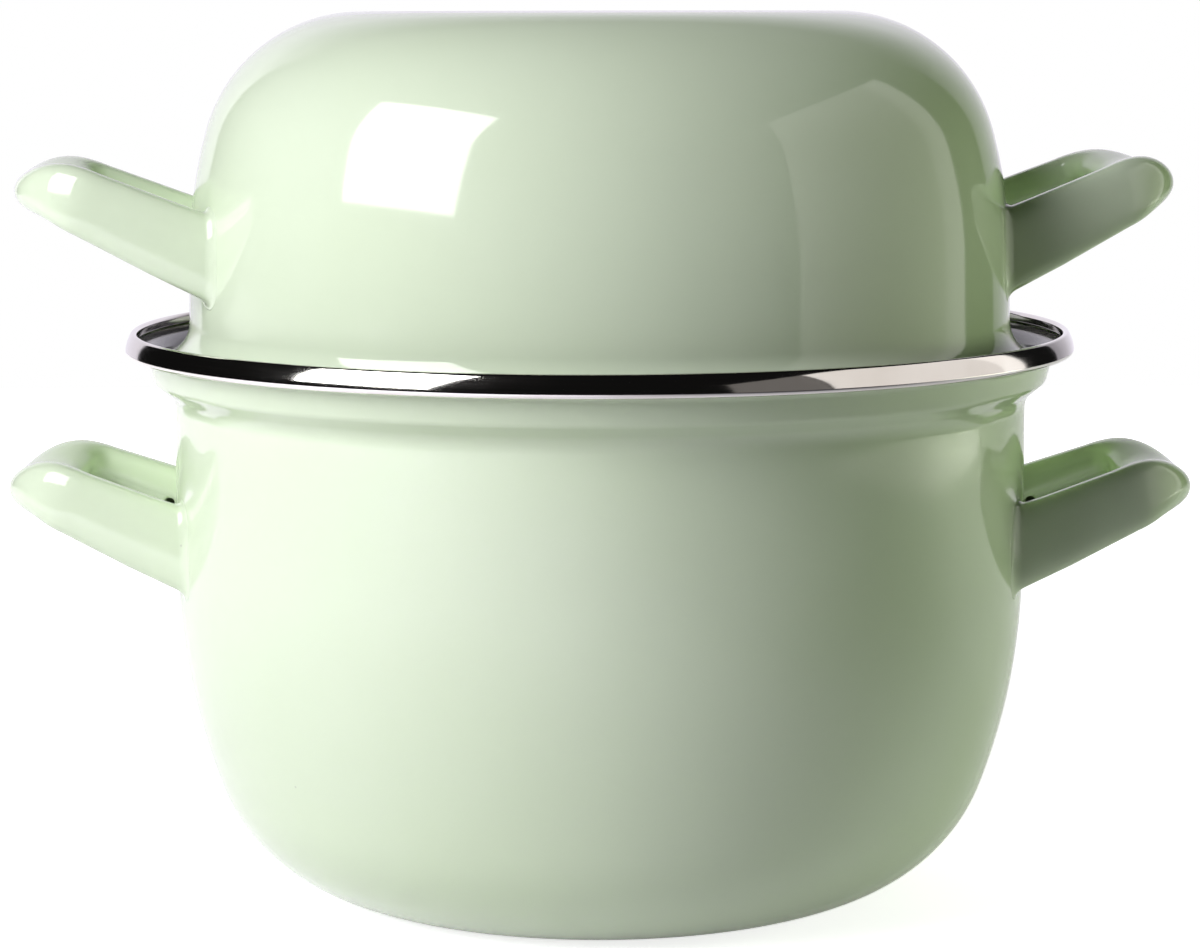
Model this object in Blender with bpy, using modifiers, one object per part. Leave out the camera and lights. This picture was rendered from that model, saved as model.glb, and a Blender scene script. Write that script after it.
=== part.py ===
"""Enamelled steel mussel pot with its deep lid, which turned over is the bowl for the empty shells.

Seven pieces: pot shell, steel rim, lid shell and four hollow handles. +Z is up, the base stands on
z = 0, the axis of the pot is Z and its handles lie along X.
"""

import math

import bmesh
import bpy
import numpy as np
from mathutils import Matrix

MM = 0.001  # profiles and constants are in millimetres, meshes in metres

# Shared sizes
SHEET = 1.2            # enamelled sheet, both coats included
FIT = 0.3              # gap left between pieces that touch
STEPS = 52             # facets round every turned piece
WELD = 0.02            # merge distance of the modifiers

# Pot, from the base up
WALL_R = 110.2         # outside of the straight wall
CORNER_R = 45.0        # small radius at the base
BELLY_R = 164.4        # large radius between the corner and the wall
BELLY_TURN = 20.2      # degrees that the large radius takes
NECK_Z = 127.1         # where the wall starts to flare
NECK_R = 6.0           # concave radius of the neck
NECK_TURN = 50.0
LEDGE_RUN = 3.1        # sloping ledge that carries the lid
LEDGE_R = 3.0          # convex radius above it
LEDGE_TURN = 35.0
FLARE_RISE = 4.4       # straight, leaning part up to the flange
FLANGE_R = 3.2         # concave radius up to the flange
FLANGE_TURN = 55.0
FLANGE_RUN = 2.4       # flat end of the flange, inside the steel rim

# Steel rim, a strip hooked over the flange
RIM_BEYOND = 1.422     # how far it reaches beyond the end of the flange
RIM_ABOVE = 4.54       # and how far its crest stands above it
RIM_SHEET = 0.7
RIM_HEM = 1.3          # straight part inside the mouth
RIM_CREST_R = 0.9
RIM_CREST_TURN = 130.0
RIM_FACE_R = 3.8       # bulge of the outer face
RIM_FACE_TURN = 44.0
RIM_FACE_RUN = 1.2     # straight part of the face
RIM_LIP_R = 1.9        # bottom edge
RIM_TUCK = 0.3         # end of the strip, tucked in under the flange

# Lid, from the top down
LID_SHOULDER_R = 41.2
LID_SIDE_R = 125.0
LID_SIDE_TURN = 14.4
LID_LEAN = 1.2         # degrees that the side of the dome leans at its foot
LID_SIDE_RUN = 17.986  # straight part of the side
LID_INSET = 4.1        # how far the foot of the dome stands inside the pot's wall
LID_FOOT_RISE = 22.1   # height of that foot above the neck, where the dome turns out into its rim
LID_RIM_R = 6.0
LID_RIM_TURN = 78.0
LID_EDGE_R = 2.0       # top edge of the turned-down rim
LID_TURN = 6.0         # degrees that the lid stands turned on the pot
LID_FOOT_Z = NECK_Z + LID_FOOT_RISE

# Handle: a hollow strap bent to a loop, the same piece four times
STRAP_T = 9.0          # thickness of the strap on the legs
ROOT_H = 19.7          # height of the strap at the wall
KNEE_H = 16.5          # height where the bend starts
NOSE_T = 16.8          # thickness at the nose
NOSE_H = 11.6          # height at the nose
STRAP_SHEET = 1.2
STRAP_SIDES = 16       # points round the section
LEG_ROOT_W = 30.2      # half the spread of the legs at the wall
LEG_CLOSE = 0.16       # how fast the legs close in
BEND_REACH = 11.6      # how far the bend reaches beyond the straight legs
KNEE_PULL = 8.0        # pull of the bend's curve at the leg
NOSE_PULL = 14.0       # and at the nose
ROOT_R = 2.2           # enamelled fillet round each root
SEAM_DEPTH = 2.0       # groove where the strap closes, on the inner side
SEAM_WIDTH = 1.5
VENT_D = 2.6           # vent hole at the root end of the seam
VENT_REACH = 6.2
POT_HANDLE_DROP = 32.3  # middle of the roots, below the neck
POT_HANDLE_SLOPE = 0.413
POT_LEG_RUN = 23.4     # reach of the straight legs
POT_NOSE_DROP = 3.6    # how far the nose bends down from the plane of the legs
LID_HANDLE_RISE = 20.7  # middle of the roots, above the foot of the dome
LID_HANDLE_SLOPE = 0.449
LID_LEG_RUN = 24.1
LID_NOSE_DROP = 1.8


class Path:
    """A line in the (r, z) half plane made of straight runs and arcs. Positive turns go left."""

    def __init__(self, r, z, degrees):
        self.at = np.array([r, z], float)
        self.heading = math.radians(degrees)
        self.points, self.headings = [self.at], [self.heading]

    def mark(self):
        self.points.append(self.at)
        self.headings.append(self.heading)

    def run(self, length):
        self.at = self.at + length * np.array([math.cos(self.heading), math.sin(self.heading)])
        self.mark()
        return self

    def arc(self, radius, degrees, segments):
        sign = math.copysign(1.0, degrees)
        left = np.array([-math.sin(self.heading), math.cos(self.heading)])
        centre = self.at + radius * sign * left
        for _ in range(segments):
            self.heading += math.radians(degrees) / segments
            left = np.array([-math.sin(self.heading), math.cos(self.heading)])
            self.at = centre - radius * sign * left
            self.mark()
        return self

    def outline(self):
        return np.array(self.points)

    def moved_left(self, distance):
        h = np.array(self.headings)
        return self.outline() + distance * np.stack([-np.sin(h), np.cos(h)], 1)


def pot_outside():
    """From the axis along the base and up to the flange."""
    corner_turn = 90.0 - BELLY_TURN
    a = math.radians(corner_turn)
    base_r = WALL_R - CORNER_R * math.sin(a) - BELLY_R * (1 - math.sin(a))
    wall_z = CORNER_R * (1 - math.cos(a)) + BELLY_R * math.cos(a)
    path = Path(0, 0, 0).run(base_r).arc(CORNER_R, corner_turn, 5).arc(BELLY_R, BELLY_TURN, 2)
    path.run(NECK_Z - wall_z).arc(NECK_R, -NECK_TURN, 3)
    path.run(LEDGE_RUN).arc(LEDGE_R, LEDGE_TURN, 2)
    return path.run(FLARE_RISE).arc(FLANGE_R, -FLANGE_TURN, 2).run(FLANGE_RUN)


def seat_height(radius):
    """Height of the inside of the pot at this radius, on the ledge."""
    inside = pot_outside().moved_left(SHEET)
    inside = inside[inside[:, 1] > NECK_Z]
    return float(np.interp(radius, inside[:, 0], inside[:, 1]))


def lid_outside():
    """From the axis over the top and down to the edge that stands on the ledge."""
    shoulder_turn = 90.0 - LID_SIDE_TURN - LID_LEAN
    a, lean = math.radians(shoulder_turn), math.radians(LID_LEAN)
    drop = LID_SHOULDER_R * (1 - math.cos(a)) + LID_SIDE_R * (math.cos(a) - math.sin(lean))
    reach = LID_SHOULDER_R * math.sin(a) + LID_SIDE_R * (math.cos(lean) - math.sin(a))
    top_z = LID_FOOT_Z + LID_SIDE_RUN * math.cos(lean) + drop
    top_r = WALL_R - LID_INSET - LID_SIDE_RUN * math.sin(lean) - reach
    path = Path(0, top_z, 0).run(top_r).arc(LID_SHOULDER_R, -shoulder_turn, 6)
    path.arc(LID_SIDE_R, -LID_SIDE_TURN, 2).run(LID_SIDE_RUN)
    path.arc(LID_RIM_R, LID_RIM_TURN, 3).arc(LID_EDGE_R, LID_LEAN - LID_RIM_TURN, 2)
    edge_r, edge_z = path.at
    return path.run(edge_z - seat_height(edge_r) - 1.2 * FIT)


def rim_outside():
    """From the hem inside the mouth over the crest and round the lip, placed by the flange's end."""
    path = Path(0, 0, 90).run(RIM_HEM).arc(RIM_CREST_R, -RIM_CREST_TURN, 3)
    path.arc(RIM_FACE_R, -RIM_FACE_TURN, 2).run(RIM_FACE_RUN)
    lip_turn = 280.0 - RIM_CREST_TURN - RIM_FACE_TURN
    outline = path.arc(RIM_LIP_R, -lip_turn, 2).run(RIM_TUCK).outline()
    flange_end = pot_outside().at
    return outline - outline.max(axis=0) + flange_end + np.array([RIM_BEYOND, RIM_ABOVE])


def new_object(name, mesh, collection, parent):
    item = bpy.data.objects.new(name, mesh)
    collection.objects.link(item)
    item.parent = parent
    return item


def turned_sheet(name, outline, sheet, parent=None):
    """A profile that runs down its outer side, turned about Z and given its sheet inwards."""
    mesh = bpy.data.meshes.new(name)
    points = [(r * MM, 0.0, z * MM) for r, z in outline]
    mesh.from_pydata(points, [(i, i + 1) for i in range(len(points) - 1)], [])
    item = new_object(name, mesh, parts, parent)
    screw = item.modifiers.new("Turn", "SCREW")
    screw.steps = screw.render_steps = STEPS
    screw.use_merge_vertices = True
    screw.merge_threshold = WELD * MM
    screw.use_smooth_shade = True
    wall = item.modifiers.new("Sheet", "SOLIDIFY")
    wall.thickness = sheet * MM
    wall.offset = -1.0
    wall.use_even_offset = True
    return item


def ease(t):
    t = min(max(t, 0.0), 1.0)
    return t * t * (3 - 2 * t)


class Strap:
    """Centre line and section of a handle on one wall: x outwards, y across, z up."""

    def __init__(self, outside, root_z, slope, leg_run, nose_drop):
        order = np.argsort(outside[:, 1])
        self.wall = outside[order][outside[order][:, 1] > root_z - 30]
        self.root_z, self.slope = root_z, slope
        self.leg_run, self.nose_drop = leg_run, nose_drop
        self.wall_r = self.wall_radius(root_z)
        leg = np.array([1.0, -LEG_CLOSE, slope])
        self.leg = leg / np.linalg.norm(leg)
        knee = np.array([leg_run, LEG_ROOT_W - LEG_CLOSE * leg_run])
        pull = KNEE_PULL * leg[:2] / np.linalg.norm(leg[:2])
        nose = np.array([leg_run + BEND_REACH, 0.0])
        self.bend = [knee, knee + pull, nose + np.array([0.0, NOSE_PULL]), nose]

    def wall_radius(self, z):
        return float(np.interp(z, self.wall[:, 1], self.wall[:, 0]))

    def centre(self, reach, across):
        return np.array([self.wall_r + reach, across, self.root_z + self.slope * reach])

    def leg_centre(self, reach):
        return self.centre(reach, LEG_ROOT_W - LEG_CLOSE * reach)

    def bend_centre(self, t):
        weights = [(1 - t) ** 3, 3 * t * (1 - t) ** 2, 3 * t * t * (1 - t), t**3]
        level = self.centre(*sum(w * p for w, p in zip(weights, self.bend)))
        return level - np.array([0.0, 0.0, self.nose_drop * ease((t - 0.2) / 0.8)])

    def frame(self, along, grow):
        """Directions across and up the strap, which leans back on the legs and is upright at the nose."""
        lean = math.atan(self.slope) * (1 - grow)
        up = np.array([-math.sin(lean), 0.0, math.cos(lean)])
        side = np.cross(up, along)
        side = side / np.linalg.norm(side)
        return side, np.cross(along, side) / np.linalg.norm(along)

    def section(self, inset, height, grow):
        """Offsets to the side and up, round the strap. The seam is a groove on the inner side."""
        power = 2.0 / (3.0 - grow)
        half_t = (STRAP_T + (NOSE_T - STRAP_T) * grow) / 2 - inset
        half_h = height / 2 - inset
        for i in range(STRAP_SIDES):
            c, s = math.cos(2 * math.pi * i / STRAP_SIDES), math.sin(2 * math.pi * i / STRAP_SIDES)
            side = half_t * math.copysign(abs(c) ** power, c)
            up = half_h * math.copysign(abs(s) ** power, s)
            if side < 0:
                side += SEAM_DEPTH * (1 - grow) * math.exp(-((up / SEAM_WIDTH) ** 2))
            yield side, up

    def leg_ring(self, reach, inset):
        side, up = self.frame(self.leg, 0.0)
        height = ROOT_H + (KNEE_H - ROOT_H) * reach / self.leg_run
        centre = self.leg_centre(reach)
        return [centre + side * s + up * u for s, u in self.section(inset, height, 0.0)]

    def bend_ring(self, t, inset):
        along = self.bend_centre(t + 1e-3) - self.bend_centre(t - 1e-3)
        if t == 1.0:
            along = np.array([0.0, -1.0, 0.0])
        side, up = self.frame(along, ease(t))
        height = KNEE_H + (NOSE_H - KNEE_H) * ease(t)
        centre = self.bend_centre(t)
        return [centre + side * s + up * u for s, u in self.section(inset, height, ease(t))]

    def root_ring(self, gap, inset):
        """The leg where it stands this far off the wall. Its outer skin flares into the fillet."""
        side, up = self.frame(self.leg, 0.0)
        root = self.leg_centre(0.0)
        flare = 0.0 if inset else ROOT_R - math.sqrt(ROOT_R**2 - (ROOT_R - gap) ** 2)
        ring = []
        for s, u in self.section(inset, ROOT_H, 0.0):
            point = root + side * s + up * u
            for _ in range(12):  # slide along the leg onto the wall, moved out by the gap
                short = self.wall_radius(point[2]) + gap - math.hypot(point[0], point[1])
                point = point + self.leg * short / self.leg[0]
            away = side * s / (STRAP_T / 2) ** 2 + up * u / (ROOT_H / 2) ** 2
            out = np.array([point[0], point[1], 0.0]) / math.hypot(point[0], point[1])
            away = away - out * np.dot(away, out)
            point = point + away / np.linalg.norm(away) * flare
            reach = (self.wall_radius(point[2]) + gap) / math.hypot(point[0], point[1])
            ring.append(point * np.array([reach, reach, 1.0]))
        return ring

    def skin(self, inset, gaps, bends):
        """Rings from the root of one leg to the nose."""
        rings = [self.root_ring(gap, inset) for gap in gaps]
        rings += [self.leg_ring(reach, inset) for reach in (0.55 * self.leg_run, self.leg_run)]
        return rings + [self.bend_ring(t, inset) for t in bends]


def handle_mesh(name, strap):
    """Half of the hollow strap, open at the nose, where the mirror joins it."""
    outer = strap.skin(0.0, (FIT, 1.1, ROOT_R), (0.2, 0.4, 0.57, 0.72, 0.86, 1.0))
    inner = strap.skin(STRAP_SHEET, (FIT, ROOT_R), (0.35, 0.7, 1.0))
    rings = outer[::-1] + inner
    bm = bmesh.new()
    rows = [[bm.verts.new(tuple(point * MM)) for point in ring] for ring in rings]
    for row, after in zip(rows, rows[1:]):
        for k in range(STRAP_SIDES):
            n = (k + 1) % STRAP_SIDES
            bm.faces.new((row[k], row[n], after[n], after[k]))
    for face in bm.faces:
        face.smooth = True
    mesh = bpy.data.meshes.new(name)
    bm.to_mesh(mesh)
    bm.free()
    return mesh


def vent_mesh(name, strap):
    """A round bar through the inner side of one leg."""
    side, up = strap.frame(strap.leg, 0.0)
    depth = STRAP_T / 2 + 2.6
    middle = strap.leg_centre(VENT_REACH) - side * (depth / 2 + 0.4)
    place = np.eye(4)
    place[:3, 0], place[:3, 1], place[:3, 2] = np.cross(up, side), up, side
    place[:3, 3] = middle * MM
    bm = bmesh.new()
    bmesh.ops.create_cone(bm, cap_ends=True, segments=10, depth=depth * MM, matrix=Matrix(place),
                          radius1=VENT_D / 2 * MM, radius2=VENT_D / 2 * MM)
    mesh = bpy.data.meshes.new(name)
    bm.to_mesh(mesh)
    bm.free()
    return mesh


def mirrored(item):
    mirror = item.modifiers.new("Other leg", "MIRROR")
    mirror.use_axis = (False, True, False)
    mirror.merge_threshold = WELD * MM


def add_handle(name, meshes, degrees, parent=None):
    """One handle and its vent cutter, both turned about the pot's axis."""
    handle = new_object(name, meshes[0], parts, parent)
    vents = new_object(name + "_vents", meshes[1], cutters, handle)
    vents.hide_render = True
    vents.display_type = "WIRE"
    mirrored(vents)
    mirrored(handle)
    handle.rotation_euler.z = math.radians(degrees)
    vent = handle.modifiers.new("Vents", "BOOLEAN")
    vent.operation = "DIFFERENCE"
    vent.solver = "EXACT"
    vent.object = vents
    return handle


def give_material(item, colour, metallic, roughness, coat):
    mat = bpy.data.materials.new(item.name + "_finish")
    mat.use_nodes = True
    shader = next(node for node in mat.node_tree.nodes if node.type == "BSDF_PRINCIPLED")
    shader.inputs["Base Color"].default_value = (*colour, 1.0)
    shader.inputs["Metallic"].default_value = metallic
    shader.inputs["Roughness"].default_value = roughness
    shader.inputs["Coat Weight"].default_value = coat
    if not item.data.materials:
        item.data.materials.append(None)
    item.material_slots[0].link = "OBJECT"
    item.material_slots[0].material = mat


for old in list(bpy.data.objects):
    bpy.data.objects.remove(old, do_unlink=True)
parts = bpy.data.collections.new("Mussel pot")
cutters = bpy.data.collections.new("Cutters")
for collection in (parts, cutters):
    bpy.context.scene.collection.children.link(collection)
cutters.hide_render = True

# Pot and its rim
pot_profile = pot_outside().outline()
lid_profile = lid_outside().outline()
pot_shell = turned_sheet("pot_shell", pot_profile[::-1], SHEET)
rim_ring = turned_sheet("rim_ring", rim_outside(), RIM_SHEET)

# The lid lifts straight off, so its pieces hang on an empty on the axis
lid_axis = new_object("lid_axis", None, parts, None)
lid_shell = turned_sheet("lid_shell", lid_profile, SHEET, lid_axis)

# Handles: one mesh for each wall, used on both sides
pot_root_z = NECK_Z - POT_HANDLE_DROP
lid_root_z = LID_FOOT_Z + LID_HANDLE_RISE
pot_strap = Strap(pot_profile, pot_root_z, POT_HANDLE_SLOPE, POT_LEG_RUN, POT_NOSE_DROP)
lid_strap = Strap(lid_profile, lid_root_z, LID_HANDLE_SLOPE, LID_LEG_RUN, LID_NOSE_DROP)
pot_meshes = handle_mesh("pot_handle", pot_strap), vent_mesh("pot_vent", pot_strap)
lid_meshes = handle_mesh("lid_handle", lid_strap), vent_mesh("lid_vent", lid_strap)
handles = [
    add_handle("pot_handle_right", pot_meshes, 0.0),
    add_handle("pot_handle_left", pot_meshes, 180.0),
    add_handle("lid_handle_right", lid_meshes, LID_TURN, lid_axis),
    add_handle("lid_handle_left", lid_meshes, 180.0 + LID_TURN, lid_axis),
]

GREEN_ENAMEL = dict(colour=(0.56, 0.68, 0.48), metallic=0.0, roughness=0.12, coat=0.6)
for piece in [pot_shell, lid_shell, *handles]:
    give_material(piece, **GREEN_ENAMEL)
give_material(rim_ring, colour=(0.72, 0.71, 0.69), metallic=1.0, roughness=0.12, coat=0.0)

print("lid edge radius %.2f, standing at %.2f" % tuple(lid_profile[-1]))
print("ledge at that radius %.2f" % seat_height(lid_profile[-1][0]))
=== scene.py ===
# %% [markdown]
# # An enamelled mussel pot
# A mussel pot is a deep pressed steel pot under a lid that is nearly as deep. The lid lifts off and,
# turned over, holds the empty shells. Both are dipped in glass enamel, and a polished steel strip
# is hooked over the mouth of the pot. We load the plain CAD model as a fixed frame, and then make
# a finer piece for each of its seven nodes, at the same place and size.

# %% Load the frame and the tools
import math

import bmesh
import bpy
import numpy as np
from mathutils import Matrix, Vector


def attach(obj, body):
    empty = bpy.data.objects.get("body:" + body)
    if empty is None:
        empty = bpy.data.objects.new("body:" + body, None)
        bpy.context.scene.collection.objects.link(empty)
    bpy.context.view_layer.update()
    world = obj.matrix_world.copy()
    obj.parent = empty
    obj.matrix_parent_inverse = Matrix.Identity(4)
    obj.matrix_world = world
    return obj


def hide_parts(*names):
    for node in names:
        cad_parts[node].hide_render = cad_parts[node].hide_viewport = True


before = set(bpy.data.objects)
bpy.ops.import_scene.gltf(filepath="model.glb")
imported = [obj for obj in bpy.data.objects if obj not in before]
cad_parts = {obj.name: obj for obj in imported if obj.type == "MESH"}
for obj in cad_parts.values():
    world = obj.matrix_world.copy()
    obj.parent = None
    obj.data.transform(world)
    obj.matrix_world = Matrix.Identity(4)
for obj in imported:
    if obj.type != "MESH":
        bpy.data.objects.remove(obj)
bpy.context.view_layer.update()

scene = bpy.context.scene

# %% [markdown]
# ## Camera
# The photograph was taken from the front with a long lens, a little above the rim. The ellipses of
# the mouth give the camera's height and tilt, and the two handles give its distance. We set it
# first, because every later choice is judged through it.

# %% Camera
MM = 0.001  # sizes are in millimetres, meshes in metres

camera_data = bpy.data.cameras.new("Camera")
camera_data.lens = 106.0
camera_data.sensor_width = 36.0
camera_data.clip_start = 0.01
camera = bpy.data.objects.new("Camera", camera_data)
scene.collection.objects.link(camera)
CAMERA_PITCH = 7.62   # degrees down
CAMERA_ROLL = 0.12
aim = Matrix.Rotation(math.radians(90 - CAMERA_PITCH), 4, "X")
roll = Matrix.Rotation(math.radians(-CAMERA_ROLL), 4, "Z")
camera.matrix_world = Matrix.Translation(Vector((0.0, -917.0, 230.8)) * MM) @ aim @ roll
scene.camera = camera
print("camera at", [round(v, 3) for v in camera.matrix_world.translation])

# %% [markdown]
# ## Drawing a profile
# Pot, lid and rim are turned shapes: one line, turned about the axis. A press tool leaves straight
# runs joined by true arcs, so we draw each line the way a tool drawing gives it: go straight for so
# many millimetres, then turn by so many degrees on this radius. The class below walks along such a
# line and marks points as it goes, a few degrees apart, so that highlights glide over the bends.

# %% A line of runs and arcs
class Profile:
    """A line in the (r, z) half plane. Positive turns go left."""

    def __init__(self, r, z, degrees):
        self.at = np.array([r, z], float)
        self.heading = math.radians(degrees)
        self.points, self.headings = [self.at], [self.heading]

    def mark(self):
        self.points.append(self.at)
        self.headings.append(self.heading)

    def run(self, length, pieces=1):
        step = length / pieces * np.array([math.cos(self.heading), math.sin(self.heading)])
        for _ in range(pieces):
            self.at = self.at + step
            self.mark()
        return self

    def arc(self, radius, degrees, step=2.5):
        sign = math.copysign(1.0, degrees)
        left = np.array([-math.sin(self.heading), math.cos(self.heading)])
        centre = self.at + radius * sign * left
        segments = max(2, math.ceil(abs(degrees) / step))
        for _ in range(segments):
            self.heading += math.radians(degrees) / segments
            left = np.array([-math.sin(self.heading), math.cos(self.heading)])
            self.at = centre - radius * sign * left
            self.mark()
        return self

    def outline(self):
        return np.array(self.points)

    def moved_left(self, distance):
        h = np.array(self.headings)
        return self.outline() + distance * np.stack([-np.sin(h), np.cos(h)], 1)


# %% [markdown]
# ## The pot's line
# The pot is deep drawn: a flat base, a small corner radius that opens into a large one, a straight
# wall, and a neck that flares into the ledge where the lid stands. Above the ledge a short flange
# carries the steel rim. These sizes have the same names and values as in the CAD source.

# %% Pot profile
SHEET = 1.2            # enamelled sheet, both coats included
FIT = 0.3              # gap between pieces that touch

WALL_R = 110.2         # outside of the straight wall
CORNER_R = 45.0        # small radius at the base
BELLY_R = 164.4        # large radius between the corner and the wall
BELLY_TURN = 20.2
NECK_Z = 127.1         # where the wall starts to flare
NECK_R = 6.0
NECK_TURN = 50.0
LEDGE_RUN = 3.1        # sloping ledge that carries the lid
LEDGE_R = 3.0
LEDGE_TURN = 35.0
FLARE_RISE = 4.4
FLANGE_R = 3.2
FLANGE_TURN = 55.0
FLANGE_RUN = 2.4


def pot_outside():
    """From the axis along the base and up to the flange."""
    corner_turn = 90.0 - BELLY_TURN
    a = math.radians(corner_turn)
    base_r = WALL_R - CORNER_R * math.sin(a) - BELLY_R * (1 - math.sin(a))
    wall_z = CORNER_R * (1 - math.cos(a)) + BELLY_R * math.cos(a)
    path = Profile(0, 0, 0).run(base_r, 8).arc(CORNER_R, corner_turn, 2.0).arc(BELLY_R, BELLY_TURN, 1.0)
    path.run(NECK_Z - wall_z, 10).arc(NECK_R, -NECK_TURN, 4.0)
    path.run(LEDGE_RUN, 2).arc(LEDGE_R, LEDGE_TURN, 5.0)
    return path.run(FLARE_RISE, 2).arc(FLANGE_R, -FLANGE_TURN, 5.0).run(FLANGE_RUN)


pot_line = pot_outside()
print("pot line: %d points, flange ends at r %.1f z %.1f" % (len(pot_line.points), *pot_line.at))

# %% [markdown]
# ## The lid's and the rim's lines
# The lid is the same kind of pressing, upside down: a nearly flat top, a generous shoulder, a side
# that is almost upright, and a foot that turns out and down onto the pot's ledge. The rim is a thin
# strip of steel rolled over the flange: it starts inside the mouth, goes over a tight crest, bulges
# out and closes under the flange. The rim's face and lip and the flare of the lid's foot are shaped
# a little finer here than in the CAD source.

# %% Lid and rim profiles
RIM_BEYOND = 1.422     # how far the rim reaches beyond the end of the flange
RIM_ABOVE = 4.54       # and how far its crest stands above it
RIM_SHEET = 0.7
RIM_HEM = 1.3          # straight part inside the mouth
RIM_CREST_R = 0.9
RIM_CREST_TURN = 150.0
RIM_FACE_R = 10.8      # bulge of the outer face
RIM_FACE_TURN = 22.0
RIM_LIP_R = 1.2        # bottom edge
RIM_TUCK = 0.3         # end of the strip, tucked in under the flange
RIM_TURN = 280.0       # degrees from the hem to that end

LID_SHOULDER_R = 41.2
LID_SIDE_R = 125.0
LID_SIDE_TURN = 14.4
LID_LEAN = 1.2         # degrees that the side of the dome leans at its foot
LID_SIDE_RUN = 17.986  # straight part of the side
LID_INSET = 4.1        # how far the foot of the dome stands inside the pot's wall
LID_FOOT_RISE = 22.1   # height of that foot above the neck
LID_RIM_R = 9.0
LID_RIM_TURN = 60.0
LID_EDGE_R = 2.0       # top edge of the turned-down rim
LID_SEAT_GAP = 1.2 * FIT  # left to the ledge, measured under the start of the last run
LID_TURN = 6.0         # degrees that the lid stands turned on the pot
LID_FOOT_Z = NECK_Z + LID_FOOT_RISE


def seat_height(radius):
    """Height of the inside of the pot at this radius, on the ledge."""
    inside = pot_line.moved_left(SHEET)
    inside = inside[inside[:, 1] > NECK_Z]
    return float(np.interp(radius, inside[:, 0], inside[:, 1]))


def lid_outside():
    """From the axis over the top and down to the edge that stands on the ledge."""
    shoulder_turn = 90.0 - LID_SIDE_TURN - LID_LEAN
    a, lean = math.radians(shoulder_turn), math.radians(LID_LEAN)
    drop = LID_SHOULDER_R * (1 - math.cos(a)) + LID_SIDE_R * (math.cos(a) - math.sin(lean))
    reach = LID_SHOULDER_R * math.sin(a) + LID_SIDE_R * (math.cos(lean) - math.sin(a))
    top_z = LID_FOOT_Z + LID_SIDE_RUN * math.cos(lean) + drop
    top_r = WALL_R - LID_INSET - LID_SIDE_RUN * math.sin(lean) - reach
    path = Profile(0, top_z, 0).run(top_r, 8).arc(LID_SHOULDER_R, -shoulder_turn, 2.0)
    path.arc(LID_SIDE_R, -LID_SIDE_TURN, 1.0).run(LID_SIDE_RUN, 4)
    path.arc(LID_RIM_R, LID_RIM_TURN, 4.0).arc(LID_EDGE_R, LID_LEAN - LID_RIM_TURN, 6.0)
    edge_r, edge_z = path.at
    return path.run(edge_z - seat_height(edge_r) - LID_SEAT_GAP, 2)


def rim_outside():
    """From the hem inside the mouth over the crest and round the lip, and where to move it."""
    path = Profile(0, 0, 90).run(RIM_HEM).arc(RIM_CREST_R, -RIM_CREST_TURN, 6.0)
    path.arc(RIM_FACE_R, -RIM_FACE_TURN, 1.5)
    lip_turn = RIM_TURN - RIM_CREST_TURN - RIM_FACE_TURN
    path.arc(RIM_LIP_R, -lip_turn, 5.0).run(RIM_TUCK)
    place = pot_line.at + np.array([RIM_BEYOND, RIM_ABOVE]) - path.outline().max(axis=0)
    return path, place


lid_line = lid_outside()
rim_line, rim_place = rim_outside()
print("lid line: %d points, edge at r %.1f z %.1f" % (len(lid_line.points), *lid_line.at))
print("rim line: %d points" % len(rim_line.points))

# %% [markdown]
# ## From a line to a sheet
# A sheet has two sides. We walk down one side of the line and back along the other, and round the
# free ends as the enamel and the rolled steel do. Each point also remembers whether it lies on the
# inner side, so that the pot can be green outside and dark inside. At the lid's foot the round end
# dips about 0.1 mm into the pot's ledge, out of sight.

# %% Section of a sheet
def round_end(first, last, side, segments=4):
    """Points of the half circle that closes a free end. side is 1 where the line goes on leftwards."""
    centre = (first + last) / 2
    ends = []
    for i in range(segments):
        a = side * math.pi * (i + 1) / (segments + 1)
        turn = np.array([[math.cos(a), -math.sin(a)], [math.sin(a), math.cos(a)]])
        ends.append(centre + turn @ (first - centre))
    return ends


def sheet_section(path, thickness, side, place=(0.0, 0.0), closed=False):
    """The section's points, and for each how much it belongs to the inner side (0 or 1)."""
    outer = path.outline()
    inner = path.moved_left(side * thickness)
    far_end = round_end(outer[-1], inner[-1], side)
    points = list(outer) + far_end + list(inner[::-1])
    inside = [0.0] * (len(outer) + len(far_end)) + [1.0] * len(inner)
    if closed:
        near_end = round_end(inner[0], outer[0], side)
        points += near_end + [outer[0]]
        inside += [1.0] * len(near_end) + [0.0]
    return np.array(points) + np.array(place), inside


pot_section = sheet_section(pot_line, SHEET, side=1)
lid_section = sheet_section(lid_line, SHEET, side=-1)
rim_section = sheet_section(rim_line, RIM_SHEET, side=-1, place=rim_place, closed=True)
for name, section in (("pot", pot_section), ("lid", lid_section), ("rim", rim_section)):
    print(name, "section has", len(section[0]), "points")

# %% [markdown]
# ## Turning the sheet with Geometry Nodes
# A turned piece follows a rule, so a node tree makes it: a grid with one row for each step round and
# one column for each point of the section. Every grid point looks up its section point by index and
# is swung round the axis. The last row falls on the first, and the points on the axis fall together,
# so a merge closes the seam and the poles. The same tree makes pot, lid and rim from its inputs.

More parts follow.
